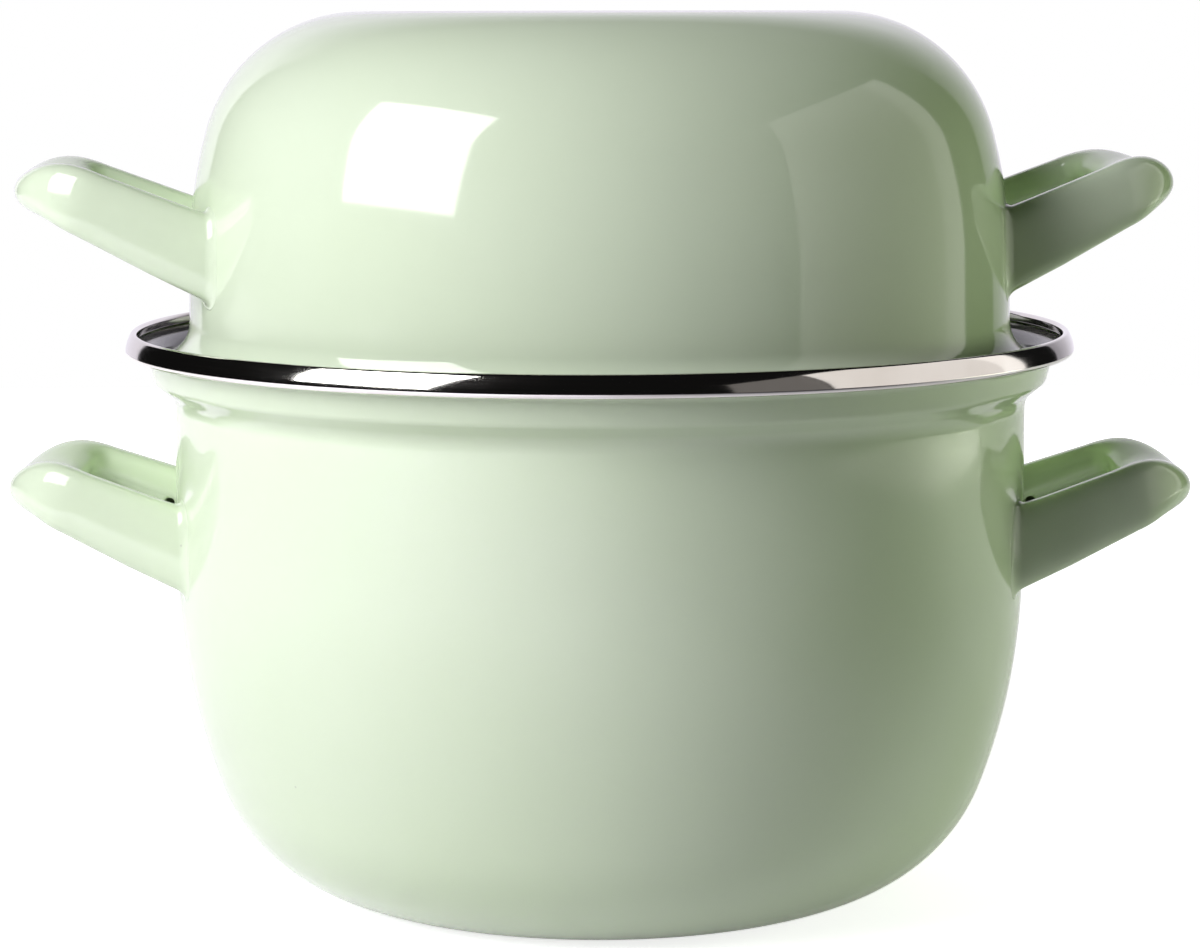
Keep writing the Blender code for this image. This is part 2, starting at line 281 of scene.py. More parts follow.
# %% Tree "Turned sheet"
def turned_sheet_tree():
    tree = bpy.data.node_groups.new("Turned sheet", "GeometryNodeTree")
    sockets = tree.interface
    sockets.new_socket("Geometry", in_out="INPUT", socket_type="NodeSocketGeometry")
    sockets.new_socket("Steps round", in_out="INPUT", socket_type="NodeSocketInt")
    sockets.new_socket("Outer finish", in_out="INPUT", socket_type="NodeSocketMaterial")
    sockets.new_socket("Inner finish", in_out="INPUT", socket_type="NodeSocketMaterial")
    sockets.new_socket("Geometry", in_out="OUTPUT", socket_type="NodeSocketGeometry")
    nodes, wire = tree.nodes, tree.links.new
    given = nodes.new("NodeGroupInput")
    result = nodes.new("NodeGroupOutput")

    def maths(operation, a, b=None):
        node = nodes.new("ShaderNodeMath")
        node.operation = operation
        for socket, value in zip(node.inputs, (a, b)):
            if isinstance(value, (int, float)):
                socket.default_value = value
            elif value is not None:
                wire(value, socket)
        return node.outputs[0]

    size = nodes.new("GeometryNodeAttributeDomainSize")
    wire(given.outputs["Geometry"], size.inputs["Geometry"])
    count = size.outputs["Point Count"]
    grid = nodes.new("GeometryNodeMeshGrid")
    wire(maths("ADD", given.outputs["Steps round"], 1.0), grid.inputs["Vertices X"])
    wire(count, grid.inputs["Vertices Y"])

    index = nodes.new("GeometryNodeInputIndex").outputs[0]
    row = maths("FLOOR", maths("DIVIDE", maths("ADD", index, 0.5), count))
    column = maths("SUBTRACT", index, maths("MULTIPLY", row, count))
    angle = maths("MULTIPLY", maths("DIVIDE", row, given.outputs["Steps round"]), math.tau)

    def looked_up(field, data_type):
        node = nodes.new("GeometryNodeSampleIndex")
        node.data_type = data_type
        wire(given.outputs["Geometry"], node.inputs["Geometry"])
        wire(field, node.inputs["Value"])
        wire(column, node.inputs["Index"])
        return node.outputs["Value"]

    where = nodes.new("GeometryNodeInputPosition").outputs[0]
    side = nodes.new("GeometryNodeInputNamedAttribute")
    side.data_type = "FLOAT"
    side.inputs["Name"].default_value = "inner_side"
    swing = nodes.new("ShaderNodeVectorRotate")
    swing.rotation_type = "Z_AXIS"
    wire(looked_up(where, "FLOAT_VECTOR"), swing.inputs["Vector"])
    wire(angle, swing.inputs["Angle"])
    moved = nodes.new("GeometryNodeSetPosition")
    wire(grid.outputs["Mesh"], moved.inputs["Geometry"])
    wire(swing.outputs[0], moved.inputs["Position"])
    stored = nodes.new("GeometryNodeStoreNamedAttribute")
    stored.data_type = "FLOAT"
    stored.inputs["Name"].default_value = "inner_side"
    wire(moved.outputs[0], stored.inputs["Geometry"])
    wire(looked_up(side.outputs["Attribute"], "FLOAT"), stored.inputs["Value"])

    merged = nodes.new("GeometryNodeMergeByDistance")
    merged.inputs["Distance"].default_value = 0.01 * MM
    wire(stored.outputs[0], merged.inputs["Geometry"])
    smooth = nodes.new("GeometryNodeSetShadeSmooth")
    wire(merged.outputs[0], smooth.inputs["Geometry"])
    real = nodes.new("GeometryNodeRealizeInstances")
    wire(smooth.outputs[0], real.inputs["Geometry"])
    outer = nodes.new("GeometryNodeSetMaterial")
    wire(real.outputs[0], outer.inputs["Geometry"])
    wire(given.outputs["Outer finish"], outer.inputs["Material"])
    inner = nodes.new("GeometryNodeSetMaterial")
    named = nodes.new("GeometryNodeInputNamedAttribute")
    named.data_type = "FLOAT"
    named.inputs["Name"].default_value = "inner_side"
    wire(outer.outputs[0], inner.inputs["Geometry"])
    wire(maths("GREATER_THAN", named.outputs["Attribute"], 0.5), inner.inputs["Selection"])
    wire(given.outputs["Inner finish"], inner.inputs["Material"])
    wire(inner.outputs[0], result.inputs[0])
    return tree


turned_tree = turned_sheet_tree()
print("tree", turned_tree.name, "has", len(turned_tree.nodes), "nodes")

# %% [markdown]
# ## Empty materials first
# The tree sets the materials, so they must exist before it runs. We make them empty here and fill
# them in later, when the shapes are done.

# %% Materials by name
def empty_material(name):
    material = bpy.data.materials.new(name)
    material.use_nodes = True
    material.node_tree.nodes.clear()
    return material


green_enamel = empty_material("Pastel green enamel")
dark_enamel = empty_material("Dark enamel of the inside")
polished_steel = empty_material("Polished steel")
print("materials", green_enamel.name, "|", dark_enamel.name, "|", polished_steel.name)

# %% [markdown]
# ## Making the three turned pieces
# The section goes into the tree as a small mesh of loose points. The evaluated result becomes a
# plain mesh with new_from_object, so no modifier is left on the piece. A turned grid can come out
# with its faces inwards. The sheet is closed, so recalculating its normals turns them all outwards.

# %% Turn pot, lid and rim
def plain_mesh(item):
    """The evaluated mesh, with its faces pointing outwards and no modifier behind it."""
    depsgraph = bpy.context.evaluated_depsgraph_get()
    mesh = bpy.data.meshes.new_from_object(item.evaluated_get(depsgraph))
    bm = bmesh.new()
    bm.from_mesh(mesh)
    bmesh.ops.recalc_face_normals(bm, faces=bm.faces)
    loose = [edge for edge in bm.edges if len(edge.link_faces) != 2]
    bm.to_mesh(mesh)
    bm.free()
    print(item.name, "has", len(mesh.polygons), "faces and", len(loose), "open edges")
    return mesh


def new_piece(name, mesh):
    piece = bpy.data.objects.new(name, mesh)
    scene.collection.objects.link(piece)
    return piece


def turned_piece(name, section, steps, outer, inner):
    points, inside = section
    seed = bpy.data.meshes.new(name + "_section")
    seed.from_pydata([(r * MM, 0.0, z * MM) for r, z in points], [], [])
    seed.attributes.new("inner_side", "FLOAT", "POINT").data.foreach_set("value", inside)
    piece = new_piece(name, seed)
    turn = piece.modifiers.new("Turn", "NODES")
    turn.node_group = turned_tree
    inputs = {item.name: item.identifier for item in turned_tree.interface.items_tree
              if item.in_out == "INPUT"}
    turn[inputs["Steps round"]] = steps
    turn[inputs["Outer finish"]] = outer
    turn[inputs["Inner finish"]] = inner
    mesh = plain_mesh(piece)
    piece.modifiers.remove(turn)
    piece.data = mesh
    mesh.name = name
    bpy.data.meshes.remove(seed)
    return piece


STEPS = 240
RIM_STEPS = 320        # more, because the polished rim shows its facets sooner

pot = turned_piece("pot_pressing", pot_section, STEPS, green_enamel, dark_enamel)
lid = turned_piece("lid_pressing", lid_section, STEPS, green_enamel, dark_enamel)
rim = turned_piece("steel_rim", rim_section, RIM_STEPS, polished_steel, polished_steel)

# %% [markdown]
# ## The strap handles
# Each handle is a hollow strap: sheet folded to a flat tube, bent to a loop and welded to the wall
# before the enamel. Its shape follows a centre line. The section turns along it from upright flat
# legs to a wide rounded nose, and at the root it flares out onto the curved wall. A loft of rings
# gives all of that: for each place on the centre line we draw one ring of the section, then join
# the rings. Only half is made, and a mirror gives the other leg.

# %% Handle sizes
STRAP_T = 9.0          # thickness of the strap on the legs
ROOT_H = 19.7          # height of the strap at the wall
KNEE_H = 16.5          # height where the bend starts
NOSE_H = 11.6          # height at the nose
NOSE_T = 16.8          # thickness at the nose
STRAP_SHEET = 1.2
LEG_ROOT_W = 30.2      # half the spread of the legs at the wall
LEG_CLOSE = 0.16       # how fast the legs close in
BEND_REACH = 11.6      # how far the bend reaches beyond the straight legs
KNEE_PULL = 8.0        # pull of the bend's curve at the leg
NOSE_PULL = 14.0       # and at the nose
NOSE_FLAT = 0.5        # how much flatter the top of the nose is, towards the opening, than an ellipse
NOSE_FULL = 0.75       # how far round the bend the nose has its full width
ROOT_R = 2.2           # enamelled fillet round each root
SEAM_DEPTH = 2.0       # groove where the strap closes, on the inner side
SEAM_WIDTH = 1.5
VENT_D = 2.6           # vent hole at the root end of the seam
VENT_REACH = 6.2       # its distance from the root
POT_HANDLE_DROP = 32.3  # middle of the roots, below the neck
POT_HANDLE_SLOPE = 0.413
POT_LEG_RUN = 23.4     # reach of the straight legs
POT_NOSE_DROP = 3.6    # how far the nose bends down from the plane of the legs
LID_HANDLE_RISE = 20.7  # middle of the roots, above the foot of the dome
LID_HANDLE_SLOPE = 0.449
LID_LEG_RUN = 24.1
LID_NOSE_DROP = 2.4
NOSE_DROP_FROM = 0.2   # how far round the bend the nose starts to bend down
WALL_KEPT = 30.0       # how far below a root the line of the wall is kept
RING_POINTS = 96
ROOT_SINK = 0.04       # how far the fillet's edge dips into the wall


def ease(t):
    t = min(max(t, 0.0), 1.0)
    return t * t * (3 - 2 * t)


def unit(vector):
    return vector / np.linalg.norm(vector)


# %% [markdown]
# ### Centre line, section and root
# The class knows one wall. It gives the centre line of leg and bend, the directions across and up
# the strap at each place, and the ring at the root, whose points slide along the leg until they
# stand on the curved wall. The fillet is a quarter circle: the closer a ring stands to the wall, the
# further it flares.

# %% Strap on a wall
class Strap:
    """Centre line and section of a handle on one wall: x outwards, y across, z up."""

    def __init__(self, outside, root_z, slope, leg_run, nose_drop):
        order = np.argsort(outside[:, 1])
        self.wall = outside[order][outside[order][:, 1] > root_z - WALL_KEPT]
        self.root_z, self.slope = root_z, slope
        self.leg_run, self.nose_drop = leg_run, nose_drop
        self.wall_r = self.wall_radius(root_z)
        leg = np.array([1.0, -LEG_CLOSE, slope])
        self.leg = unit(leg)
        knee = np.array([leg_run, LEG_ROOT_W - LEG_CLOSE * leg_run])
        pull = KNEE_PULL * unit(leg[:2])
        nose = np.array([leg_run + BEND_REACH, 0.0])
        self.bend = [knee, knee + pull, nose + np.array([0.0, NOSE_PULL]), nose]

    def wall_radius(self, z):
        return float(np.interp(z, self.wall[:, 1], self.wall[:, 0]))

    def centre(self, reach, across):
        return np.array([self.wall_r + reach, across, self.root_z + self.slope * reach])

    def leg_centre(self, reach):
        return self.centre(reach, LEG_ROOT_W - LEG_CLOSE * reach)

    def bend_centre(self, t):
        weights = [(1 - t) ** 3, 3 * t * (1 - t) ** 2, 3 * t * t * (1 - t), t**3]
        level = self.centre(*sum(w * p for w, p in zip(weights, self.bend)))
        bent = ease((t - NOSE_DROP_FROM) / (1 - NOSE_DROP_FROM))
        return level - np.array([0.0, 0.0, self.nose_drop * bent])

    def frame(self, along, grow):
        """Across and up the strap, which leans back on the legs and is upright at the nose."""
        lean = math.atan(self.slope) * (1 - grow)
        up = np.array([-math.sin(lean), 0.0, math.cos(lean)])
        side = unit(np.cross(up, along))
        return side, unit(np.cross(along, side))

    def section(self, inset, height, grow):
        """Offsets to the side and up, round the strap. The seam is a groove on the inner side."""
        power = 2.0 / (3.0 - grow)
        half_t = (STRAP_T + (NOSE_T - STRAP_T) * grow) / 2 - inset
        half_h = height / 2 - inset
        for i in range(RING_POINTS):
            a = 2 * math.pi * i / RING_POINTS
            c, s = math.cos(a), math.sin(a)
            flat = 1 - NOSE_FLAT * grow if s > 0 > c else 1.0
            side = half_t * math.copysign(abs(c) ** power, c)
            up = half_h * math.copysign(abs(s) ** (power * flat), s)
            if side < 0:
                side += SEAM_DEPTH * (1 - grow) * math.exp(-((up / SEAM_WIDTH) ** 2))
            yield side, up

    def leg_ring(self, reach, inset):
        side, up = self.frame(self.leg, 0.0)
        height = ROOT_H + (KNEE_H - ROOT_H) * reach / self.leg_run
        centre = self.leg_centre(reach)
        return [centre + side * s + up * u for s, u in self.section(inset, height, 0.0)]

    def bend_ring(self, t, inset):
        along = self.bend_centre(t + 1e-3) - self.bend_centre(t - 1e-3)
        if t == 1.0:
            along = np.array([0.0, -1.0, 0.0])
        grow = ease(t / NOSE_FULL)
        side, up = self.frame(along, grow)
        height = KNEE_H + (NOSE_H - KNEE_H) * ease(t)
        centre = self.bend_centre(t)
        return [centre + side * s + up * u for s, u in self.section(inset, height, grow)]

    def root_ring(self, gap, inset):
        """The leg where it stands this far off the wall. Its outer skin flares into the fillet."""
        side, up = self.frame(self.leg, 0.0)
        root = self.leg_centre(0.0)
        flare = 0.0 if inset else ROOT_R - math.sqrt(ROOT_R**2 - (ROOT_R - max(gap, 0.0)) ** 2)
        ring = []
        for s, u in self.section(inset, ROOT_H, 0.0):
            point = root + side * s + up * u
            for _ in range(12):
                short = self.wall_radius(point[2]) + gap - math.hypot(point[0], point[1])
                point = point + self.leg * short / self.leg[0]
            away = side * s / (STRAP_T / 2) ** 2 + up * u / (ROOT_H / 2) ** 2
            out = unit(np.array([point[0], point[1], 0.0]))
            point = point + unit(away - out * np.dot(away, out)) * flare
            reach = (self.wall_radius(point[2]) + gap) / math.hypot(point[0], point[1])
            ring.append(point * np.array([reach, reach, 1.0]))
        return ring


# %% [markdown]
# ### The loft
# The rings run from the nose down the outer skin to the wall, turn round the open edge inside the
# fillet, and come back up the inner skin, so the strap is hollow like the real one. The rings stand
# closer together in the fillet and in the bend, where the surface turns most.

# %% Loft one handle
LEG_RINGS_FROM = 2.6   # where the rings of the straight leg start, in radii of the fillet
VENT_BAR = STRAP_T / 2 + 2.6  # length of the bar that cuts a vent hole
VENT_BAR_FROM = 0.4    # where it starts, off the middle of the strap


def skin_rings(strap, inset, fillet_steps, leg_steps, bend_steps):
    """Rings from the wall along one leg to the nose."""
    rings = []
    for i in range(fillet_steps + 1):
        gap = ROOT_R * (1 - math.cos(math.pi / 2 * i / fillet_steps)) if i else -ROOT_SINK
        rings.append(strap.root_ring(gap, inset))
    first = LEG_RINGS_FROM * ROOT_R
    for i in range(leg_steps + 1):
        reach = first + (strap.leg_run - first) * i / leg_steps
        rings.append(strap.leg_ring(reach, inset))
    for i in range(bend_steps):
        rings.append(strap.bend_ring((i + 1) / bend_steps, inset))
    return rings


def handle_half(name, strap):
    outer = skin_rings(strap, 0.0, fillet_steps=8, leg_steps=8, bend_steps=24)
    inner = skin_rings(strap, STRAP_SHEET, fillet_steps=3, leg_steps=3, bend_steps=8)
    rings = outer[::-1] + inner
    bm = bmesh.new()
    rows = [[bm.verts.new(tuple(point * MM)) for point in ring] for ring in rings]
    for row, after in zip(rows, rows[1:]):
        for k in range(RING_POINTS):
            n = (k + 1) % RING_POINTS
            bm.faces.new((row[k], row[n], after[n], after[k]))
    for face in bm.faces:
        face.smooth = True
    mesh = bpy.data.meshes.new(name)
    bm.to_mesh(mesh)
    bm.free()
    return mesh


def vent_bar(name, strap):
    """A round bar through the inner side of one leg, to cut its vent hole."""
    side, up = strap.frame(strap.leg, 0.0)
    place = np.eye(4)
    place[:3, 0], place[:3, 1], place[:3, 2] = np.cross(up, side), up, side
    place[:3, 3] = (strap.leg_centre(VENT_REACH) - side * (VENT_BAR / 2 + VENT_BAR_FROM)) * MM
    bm = bmesh.new()
    bmesh.ops.create_cone(bm, cap_ends=True, segments=32, depth=VENT_BAR * MM, matrix=Matrix(place),
                          radius1=VENT_D / 2 * MM, radius2=VENT_D / 2 * MM)
    mesh = bpy.data.meshes.new(name)
    bm.to_mesh(mesh)
    bm.free()
    return mesh


# %% [markdown]
# ### Mirror, vent holes and place
# Two modifiers finish the loop: a mirror adds the other leg, and an exact Boolean cuts the vent
# hole that every closed tube needs in the enamelling kiln. The result is turned to its place in the
# mesh itself, so the finished object stays unturned at the origin.

# %% Four handles
def mirrored(item):
    mirror = item.modifiers.new("Other leg", "MIRROR")
    mirror.use_axis = (False, True, False)
    mirror.merge_threshold = 0.02 * MM


def strap_handle(name, strap, degrees):
    piece = new_piece(name, handle_half(name, strap))
    bars = new_piece(name + "_vents", vent_bar(name + "_vents", strap))
    mirrored(piece)
    mirrored(bars)
    vent = piece.modifiers.new("Vents", "BOOLEAN")
    vent.solver = "EXACT"
    vent.operation = "DIFFERENCE"
    vent.object = bars
    mesh = plain_mesh(piece)
    piece.modifiers.clear()
    bpy.data.objects.remove(bars)
    mesh.transform(Matrix.Rotation(math.radians(degrees), 4, "Z"))
    mesh.materials.clear()
    mesh.materials.append(green_enamel)
    mesh.name = name
    piece.data = mesh
    return piece


pot_strap = Strap(pot_line.outline(), NECK_Z - POT_HANDLE_DROP, POT_HANDLE_SLOPE, POT_LEG_RUN,
                  POT_NOSE_DROP)
lid_strap = Strap(lid_line.outline(), LID_FOOT_Z + LID_HANDLE_RISE, LID_HANDLE_SLOPE, LID_LEG_RUN,
                  LID_NOSE_DROP)
pot_right = strap_handle("pot_strap_right", pot_strap, 0.0)
pot_left = strap_handle("pot_strap_left", pot_strap, 180.0)
lid_right = strap_handle("lid_strap_right", lid_strap, LID_TURN)
lid_left = strap_handle("lid_strap_left", lid_strap, 180.0 + LID_TURN)

# %% [markdown]
# ## Surface effects as node groups
# The enamel and the steel are smooth, and yet a perfectly even surface looks false. Enamel is glass
# that flowed in the kiln, so reflections in it sway a little over a few centimetres and ripple over
# a few millimetres, and its colour is never quite even. These effects are one node group with named
# inputs, placed in both enamels with their own values. It puts out only a colour, a roughness and a
# normal, and the shader itself stays in each material.

# %% Helpers for shader nodes
def node_of(tree, kind, **settings):
    node = tree.nodes.new("ShaderNode" + kind)
    for name, value in settings.items():
        setattr(node, name, value)
    return node


def join(tree, source, target):
    tree.links.new(source, target)


def reckon(tree, operation, a, b):
    """A Math node of two inputs, each a number or a socket."""
    node = node_of(tree, "Math", operation=operation)
    for socket, value in zip(node.inputs, (a, b)):
        if isinstance(value, (int, float)):
            socket.default_value = value
        else:
            join(tree, value, socket)
    return node.outputs[0]


def new_group(name, inputs, outputs):
    tree = bpy.data.node_groups.new(name, "ShaderNodeTree")
    for label, kind, value in inputs:
        socket = tree.interface.new_socket(label, in_out="INPUT", socket_type="NodeSocket" + kind)
        if value is not None:
            socket.default_value = value
    for label, kind in outputs:
        tree.interface.new_socket(label, in_out="OUTPUT", socket_type="NodeSocket" + kind)
    return tree, tree.nodes.new("NodeGroupInput"), tree.nodes.new("NodeGroupOutput")


def noise(tree, where, scale, detail=2.0, roughness=0.5):
    node = node_of(tree, "TexNoise")
    join(tree, where, node.inputs["Vector"])
    node.inputs["Scale"].default_value = scale
    node.inputs["Detail"].default_value = detail
    node.inputs["Roughness"].default_value = roughness
    return node.outputs["Fac"]


def spread(tree, value, low, high, to_low=0.0, to_high=1.0):
    """Map Range, clamped."""
    node = node_of(tree, "MapRange")
    join(tree, value, node.inputs["Value"])
    for label, number in (("From Min", low), ("From Max", high), ("To Min", to_low), ("To Max", to_high)):
        node.inputs[label].default_value = number
    return node.outputs["Result"]


def blend_colours(tree, factor, a, b):
    """From colour a to colour b, each written out or a socket."""
    node = node_of(tree, "Mix", data_type="RGBA")
    for socket, value in ((node.inputs[0], factor), (node.inputs[6], a), (node.inputs[7], b)):
        if isinstance(value, tuple):
            socket.default_value = value
        else:
            join(tree, value, socket)
    return node.outputs[2]


# %% [markdown]
# ### Flowed glass
# Three scales of noise do the work. A slow one, a few centimetres wide, sways the reflections and
# shifts the shade. A fine one is the orange peel of sprayed or dipped enamel. Sparse round specks,
# darker or lighter than the glass, are grains that every batch of enamel carries.

# %% Group "Flowed enamel"
def flowed_enamel_group():
    tree, given, result = new_group(
        "Flowed enamel",
        [("Glass colour", "Color", (0.6, 0.7, 0.5, 1.0)), ("Thin colour", "Color", (0.6, 0.7, 0.5, 1.0)),
         ("Speck colour", "Color", (0.1, 0.1, 0.1, 1.0)), ("Sway height", "Float", 0.00006),
         ("Peel height", "Float", 0.000002), ("Roughness", "Float", 0.05), ("Specks", "Float", 0.5)],
        [("Colour", "Color"), ("Roughness", "Float"), ("Normal", "Vector")])
    where = node_of(tree, "TexCoord").outputs["Object"]
    sway = noise(tree, where, 24.0, detail=1.0, roughness=0.35)
    peel = noise(tree, where, 420.0, detail=2.0)
    shade = noise(tree, where, 9.0, detail=3.0, roughness=0.6)

    cells = node_of(tree, "TexVoronoi")
    cells.inputs["Scale"].default_value = 95.0
    join(tree, where, cells.inputs["Vector"])
    is_grain = spread(tree, cells.outputs["Distance"], 0.035, 0.022)
    tone = node_of(tree, "SeparateColor")
    join(tree, cells.outputs["Color"], tone.inputs[0])
    chosen = spread(tree, tone.outputs[0], 0.90, 0.92)
    speck = reckon(tree, "MULTIPLY", reckon(tree, "MULTIPLY", is_grain, chosen), given.outputs["Specks"])

    pooled = spread(tree, shade, 0.35, 0.7)
    colour = blend_colours(tree, pooled, given.outputs["Glass colour"], given.outputs["Thin colour"])
    colour = blend_colours(tree, speck, colour, given.outputs["Speck colour"])
    join(tree, colour, result.inputs["Colour"])

    rough = reckon(tree, "MULTIPLY", spread(tree, shade, 0.3, 0.7, 0.85, 1.2), given.outputs["Roughness"])
    join(tree, rough, result.inputs["Roughness"])

    slow = node_of(tree, "Bump")
    join(tree, given.outputs["Sway height"], slow.inputs["Distance"])
    join(tree, sway, slow.inputs["Height"])
    fine = node_of(tree, "Bump")
    join(tree, given.outputs["Peel height"], fine.inputs["Distance"])
    join(tree, peel, fine.inputs["Height"])
    join(tree, slow.outputs[0], fine.inputs["Normal"])
    join(tree, fine.outputs[0], result.inputs["Normal"])
    return tree


flowed_enamel = flowed_enamel_group()
print("group", flowed_enamel.name, "has", len(flowed_enamel.nodes), "nodes")

# %% [markdown]
# ## The enamels
# Vitreous enamel is opaque glass: its colour is in the body, and over it lies a sharp, colourless
# mirror of a few per cent that grows towards the edges. The Principled shader does just that with a
# low roughness and the index of refraction of glass. The outside is a pastel green. The inside of
# such pots is enamelled nearly black, because it stains less.

# %% Fill the enamel materials
def principled(material):
    tree = material.node_tree
    shader = node_of(tree, "BsdfPrincipled")
    output = node_of(tree, "OutputMaterial")
    join(tree, shader.outputs[0], output.inputs["Surface"])
    return tree, shader


GLASS_IOR = 1.52


def fill_enamel(material, glass, thin, speck, sway, peel, roughness, specks):
    tree, shader = principled(material)
    group = node_of(tree, "Group")
    group.node_tree = flowed_enamel
    values = {"Glass colour": (*glass, 1.0), "Thin colour": (*thin, 1.0), "Speck colour": (*speck, 1.0),
              "Sway height": sway, "Peel height": peel, "Roughness": roughness, "Specks": specks}
    for label, value in values.items():
        group.inputs[label].default_value = value
    join(tree, group.outputs["Colour"], shader.inputs["Base Color"])
    join(tree, group.outputs["Roughness"], shader.inputs["Roughness"])
    join(tree, group.outputs["Normal"], shader.inputs["Normal"])
    shader.inputs["IOR"].default_value = GLASS_IOR


fill_enamel(green_enamel, glass=(0.582, 0.716, 0.452), thin=(0.594, 0.722, 0.472),
            speck=(0.30, 0.33, 0.24), sway=0.00018, peel=0.0000015, roughness=0.07, specks=0.35)
fill_enamel(dark_enamel, glass=(0.105, 0.090, 0.130), thin=(0.122, 0.106, 0.150),
            speck=(0.55, 0.55, 0.58), sway=0.00010, peel=0.000003, roughness=0.09, specks=0.6)
print("enamels filled")

# %% [markdown]
# ## The steel
# The strip was polished on a wheel while it turned, so what marks are left run round it. We turn
# Object coordinates into radius and height, stretch them, and read a noise there: it changes fast
# across the strip and hardly at all along it. A little tarnish dulls it unevenly.

# %% Group "Marks round the axis" and the steel
def turned_marks_group():
    tree, given, result = new_group(
        "Marks round the axis",
        [("Marks per metre", "Float", 5000.0), ("Depth", "Float", 0.000001), ("Roughness", "Float", 0.08)],
        [("Roughness", "Float"), ("Normal", "Vector"), ("Tarnish", "Float")])
    where = node_of(tree, "TexCoord").outputs["Object"]
    parts = node_of(tree, "SeparateXYZ")
    join(tree, where, parts.inputs[0])
    squares = reckon(tree, "ADD", reckon(tree, "MULTIPLY", parts.outputs[0], parts.outputs[0]),
                     reckon(tree, "MULTIPLY", parts.outputs[1], parts.outputs[1]))
    radius = reckon(tree, "SQRT", squares, 0.0)
    rings = node_of(tree, "CombineXYZ")
    per_metre = given.outputs["Marks per metre"]
    join(tree, reckon(tree, "MULTIPLY", radius, per_metre), rings.inputs[0])
    join(tree, reckon(tree, "MULTIPLY", parts.outputs[2], per_metre), rings.inputs[1])
    join(tree, reckon(tree, "MULTIPLY", parts.outputs[0], 60.0), rings.inputs[2])
    marks = noise(tree, rings.outputs[0], 1.0, detail=2.0)
    tarnish = noise(tree, where, 45.0, detail=4.0)
    rough = reckon(tree, "MULTIPLY", given.outputs["Roughness"], spread(tree, marks, 0.3, 0.7, 0.8, 1.3))
    rough = reckon(tree, "MULTIPLY", rough, spread(tree, tarnish, 0.35, 0.7, 0.9, 1.4))
    join(tree, rough, result.inputs["Roughness"])
    bump = node_of(tree, "Bump")
    join(tree, given.outputs["Depth"], bump.inputs["Distance"])
    join(tree, marks, bump.inputs["Height"])
    join(tree, bump.outputs[0], result.inputs["Normal"])
    join(tree, spread(tree, tarnish, 0.4, 0.75), result.inputs["Tarnish"])
    return tree


tree, shader = principled(polished_steel)
marks = node_of(tree, "Group")
marks.node_tree = turned_marks_group()
marks.inputs["Marks per metre"].default_value = 4000.0
marks.inputs["Depth"].default_value = 0.0000004
marks.inputs["Roughness"].default_value = 0.07
join(tree, marks.outputs["Roughness"], shader.inputs["Roughness"])
join(tree, marks.outputs["Normal"], shader.inputs["Normal"])
BRIGHT_STEEL = (0.74, 0.72, 0.69, 1.0)
DULL_STEEL = (0.66, 0.63, 0.59, 1.0)
join(tree, blend_colours(tree, marks.outputs["Tarnish"], BRIGHT_STEEL, DULL_STEEL),
     shader.inputs["Base Color"])
shader.inputs["Metallic"].default_value = 1.0
print("steel filled")

# %% [markdown]
# ## Pieces take the place of the nodes
# Each piece rides on the body of the node that it stands for, so the lid's handles rise with the lid.

# %% Replace the CAD nodes
stands_for = [
    (pot, "pot_shell", "pot", "green_enamel"),
    (rim, "rim_ring", "pot", "polished_steel"),
    (pot_right, "pot_handle_right", "pot", "green_enamel"),
    (pot_left, "pot_handle_left", "pot", "green_enamel"),
    (lid, "lid_shell", "lid", "green_enamel"),
    (lid_right, "lid_handle_right", "lid", "green_enamel"),
    (lid_left, "lid_handle_left", "lid", "green_enamel"),
]
for piece, node, body, slot in stands_for:
    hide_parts(node)
    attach(piece, body)
    print(piece.name, "stands for", node, "and rides on", body)

# %% [markdown]
# ## The studio
# Glossy things are pictures of their room. The bright quadrilateral on the lid, the pale band down
# its right side and the black and white stretches of the steel rim each say where something stood:
# a square softbox high on the left, a large pale board on the right, a white wall behind, and a
# dark room behind the camera. We put the same things at the same places.
#
# ### Floor
# The floor is white paper. For the camera it glows a little, so that it reads white and still shows
# the shadow near the pot. At the front right its colour fades to a dark grey, a painted shade: there
# it neither shows in the enamel nor throws light back, and the fronts of the right handles stay deep
# green. For the camera the glow rises there, so that the floor still reads white. Mirrors see it
# dimmer than the camera does, by a measure of its own, and with painted shade: dimmer towards the
# right, in the dark corner and near the pot, where its shadow would lie.

# %% Floor
FLOOR_GLOW = 0.75      # added where the camera looks at the floor, so that it reads white


def stage_sheet(name, corners):
    mesh = bpy.data.meshes.new(name)
    mesh.from_pydata([tuple(v * MM for v in corner) for corner in corners], [], [(0, 1, 2, 3)])
    sheet = new_piece(name, mesh)
    return sheet


